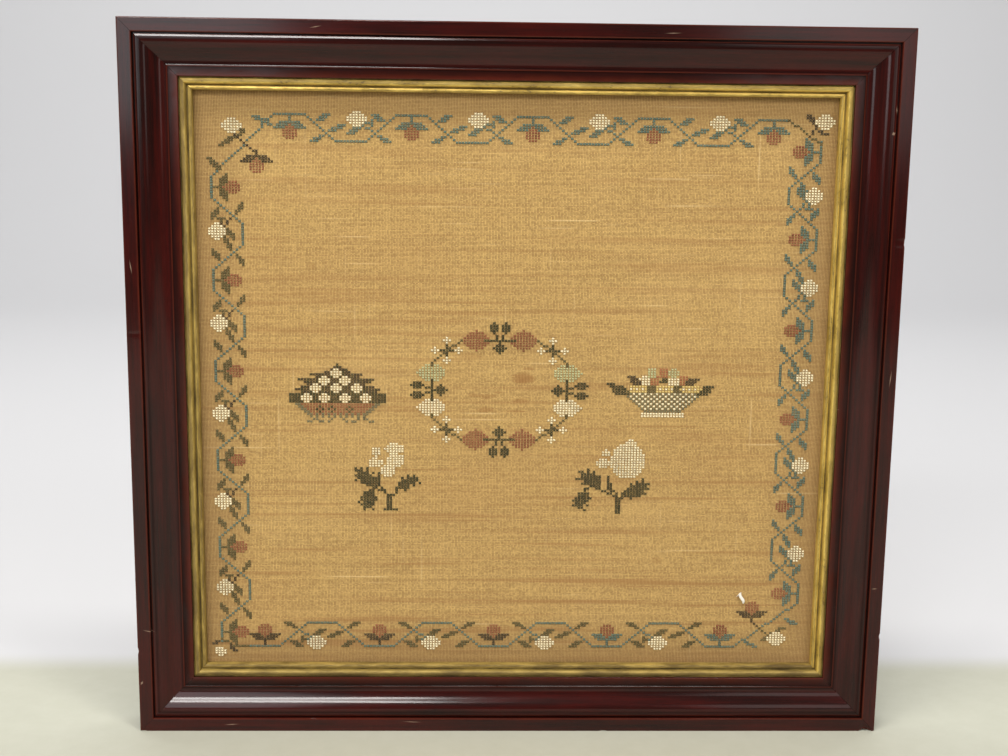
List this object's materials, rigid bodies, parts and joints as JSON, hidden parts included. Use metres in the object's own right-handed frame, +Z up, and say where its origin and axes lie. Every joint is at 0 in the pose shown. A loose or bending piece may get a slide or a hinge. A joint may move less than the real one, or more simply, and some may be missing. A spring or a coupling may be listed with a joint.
{
  "type": "framed cross stitch sampler",
  "caption": "Antique-style sampler worked in cross stitch on tan linen, in a dark red mahogany moulding with a gilt slip and a plain wooden back.",
  "frame": {"origin": "middle of the footprint of the frame's lower edge: half way along its width and half way through its depth, at the height of the surface it stands on", "axes": "+X to the right as one looks at the stitching, +Y from the stitched face towards the back, +Z up the face"},
  "size_m": [0.48, 0.028, 0.451],
  "materials": {
    "mahogany": "french polished, worn at the arrises",
    "gilding": "aged gilding, rubbed and toned",
    "linen": "even weave, toned with age, worked in cross stitch",
    "board": "raw, browned",
    "iron": "dull"
  },
  "bodies": {
    "root": {"rail_bottom": "mahogany", "rail_right": "mahogany", "rail_top": "mahogany", "rail_left": "mahogany", "slip_bottom": "gilding", "slip_right": "gilding", "slip_top": "gilding", "slip_left": "gilding", "linen": "linen", "backboard": "board", "sprig_bottom_a": "iron", "sprig_bottom_b": "iron", "sprig_right_a": "iron", "sprig_right_b": "iron", "sprig_top_a": "iron", "sprig_top_b": "iron", "sprig_left_a": "iron", "sprig_left_b": "iron"}
  },
  "joints": []
}
